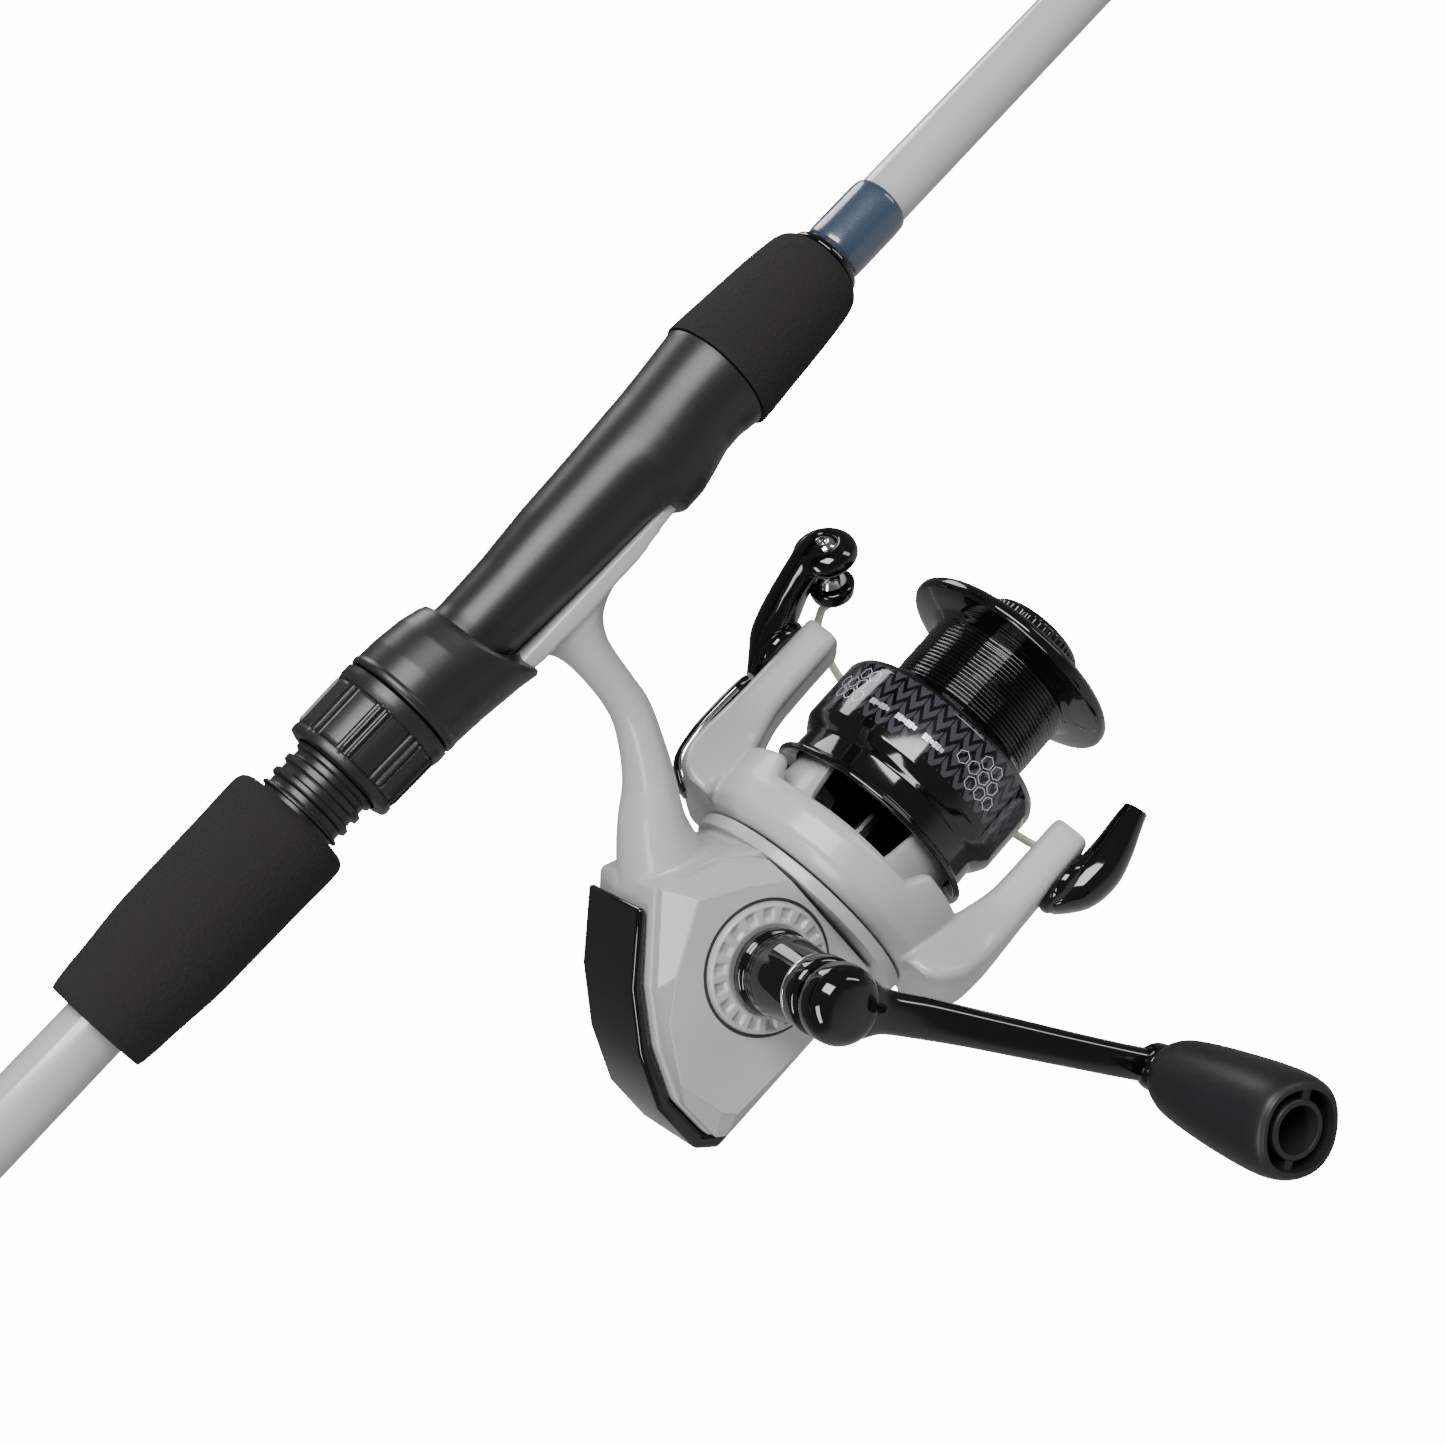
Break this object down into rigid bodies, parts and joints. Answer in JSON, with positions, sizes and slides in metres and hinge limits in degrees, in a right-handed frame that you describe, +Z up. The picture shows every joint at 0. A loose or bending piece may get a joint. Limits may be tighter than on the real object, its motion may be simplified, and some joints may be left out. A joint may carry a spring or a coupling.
{
  "type": "spinning rod and reel",
  "caption": "Two-piece spinning rod with foam grips and a fixed-spool reel whose crank turns a rotor with a flip bail around an oscillating spool.",
  "frame": {"origin": "on the rod axis above the reel foot, where the hand closes around the reel seat", "axes": "+X along the rod towards the tip, +Z up away from the reel, +Y to the left; the crank is on the -Y side"},
  "size_m": [1.8482, 0.1454, 0.1584],
  "materials": {
    "grey_paint": "satin light grey paint",
    "black_foam": "matt fine foam",
    "black_nylon": "fine grained satin",
    "black_gloss": "gloss black",
    "blue_epoxy": "clear gloss over slate blue thread",
    "soft_black": "soft touch",
    "chrome": "polished",
    "steel": "satin",
    "brass": "machined",
    "zinc_alloy": "die cast",
    "ceramic": "polished ceramic",
    "felt": "felt",
    "pale_wire": "pale gloss coat"
  },
  "bodies": {
    "rod": {"butt_section": "grey_paint", "rear_grip": "black_foam", "butt_grip": "black_foam", "butt_cap": "soft_black", "reel_seat": "black_nylon", "foregrip": "black_foam", "winding_check": "black_gloss", "trim_wrap": "blue_epoxy", "guide_frame_1": "steel", "guide_ring_1": "ceramic", "reel_body": "grey_paint", "side_cover": "grey_paint", "rear_guard": "black_gloss", "drive_bearing_right": "steel", "drive_bearing_left": "steel", "pinion_bearing": "steel", "roller_clutch": "steel", "case_screw_1": "chrome", "case_screw_2": "chrome", "guide_rod": "steel"},
    "tip": {"tip_section": "grey_paint", "guide_frame_2": "steel", "guide_frame_3": "steel", "guide_frame_4": "steel", "guide_ring_2": "ceramic", "guide_ring_3": "ceramic", "guide_ring_4": "ceramic", "tip_top_frame": "steel", "tip_top_ring": "ceramic"},
    "hood": {"slide_hood": "black_nylon"},
    "nut": {"lock_nut": "black_nylon"},
    "crank": {"drive_gear": "zinc_alloy", "handle_shaft": "steel", "handle_collar": "black_gloss", "handle_arm": "black_gloss", "knob_pin": "steel", "handle_cap": "black_gloss"},
    "knob": {"handle_knob": "soft_black"},
    "oscillator": {"osc_gear": "brass"},
    "rotor": {"rotor": "grey_paint", "pinion_gear": "brass", "rotor_nut": "steel", "arm_cover": "black_gloss", "bail_spring": "steel", "pivot_screw_bail": "chrome", "pivot_screw_holder": "chrome"},
    "bail": {"bail_arm": "black_gloss", "bail_holder": "black_gloss", "bail_wire": "pale_wire", "roller_screw": "chrome"},
    "roller": {"line_roller": "chrome"},
    "spool_shaft": {"main_shaft": "steel", "osc_slider": "zinc_alloy", "drag_washer_2": "steel"},
    "spool": {"spool": "black_gloss", "drag_washer_1": "felt"},
    "drag_dial": {"drag_knob": "black_gloss"}
  },
  "joints": [
    {"name": "ferrule_slide", "type": "slide", "parent": "rod", "child": "tip", "axis": [1, 0, 0], "range_m": [0, 0.08]},
    {"name": "lock_nut_turn", "type": "hinge", "parent": "hood", "child": "nut", "pos_m": [-0.04, 0, 0], "axis": [-1, 0, 0], "range_deg": [0, 1160]},
    {"name": "hood_slide", "type": "slide", "parent": "rod", "child": "hood", "axis": [-1, 0, 0], "range_m": [0, 0.01]},
    {"name": "crank_spin", "type": "hinge", "parent": "rod", "child": "crank", "pos_m": [-0.017, 0, -0.0835], "axis": [0, -1, 0], "continuous": true},
    {"name": "rotor_spin", "type": "hinge", "parent": "rod", "child": "rotor", "pos_m": [0, 0, -0.091], "axis": [1, 0, 0], "continuous": true},
    {"name": "oscillator_spin", "type": "hinge", "parent": "rod", "child": "oscillator", "pos_m": [-0.02844, 0.006, -0.08946], "axis": [0, -1, 0], "continuous": true},
    {"name": "spool_stroke", "type": "slide", "parent": "rod", "child": "spool_shaft", "axis": [1, 0, 0], "range_m": [-0.009, 0.002]},
    {"name": "spool_drag", "type": "hinge", "parent": "spool_shaft", "child": "spool", "pos_m": [0, 0, -0.091], "axis": [1, 0, 0], "continuous": true},
    {"name": "drag_dial_turn", "type": "hinge", "parent": "spool_shaft", "child": "drag_dial", "pos_m": [0, 0, -0.091], "axis": [1, 0, 0], "range_deg": [-540, 540]},
    {"name": "bail_flip", "type": "hinge", "parent": "rotor", "child": "bail", "pos_m": [0.0385, 0, -0.091], "axis": [0, -0.6428, -0.766], "range_deg": [0, 100]},
    {"name": "line_roller_spin", "type": "hinge", "parent": "bail", "child": "roller", "pos_m": [0.0561, 0.01935, -0.0558], "axis": [0.2441, -0.3739, 0.8948], "continuous": true},
    {"name": "knob_spin", "type": "hinge", "parent": "crank", "child": "knob", "pos_m": [0.01649, -0.08, -0.13508], "axis": [0, -1, 0], "continuous": true}
  ],
  "couplings": [
    {"joint": "hood_slide", "follows": "lock_nut_turn", "m_per_rad": 0.00049338},
    {"joint": "rotor_spin", "follows": "crank_spin", "ratio": -5},
    {"joint": "oscillator_spin", "follows": "crank_spin", "ratio": -0.5}
  ]
}
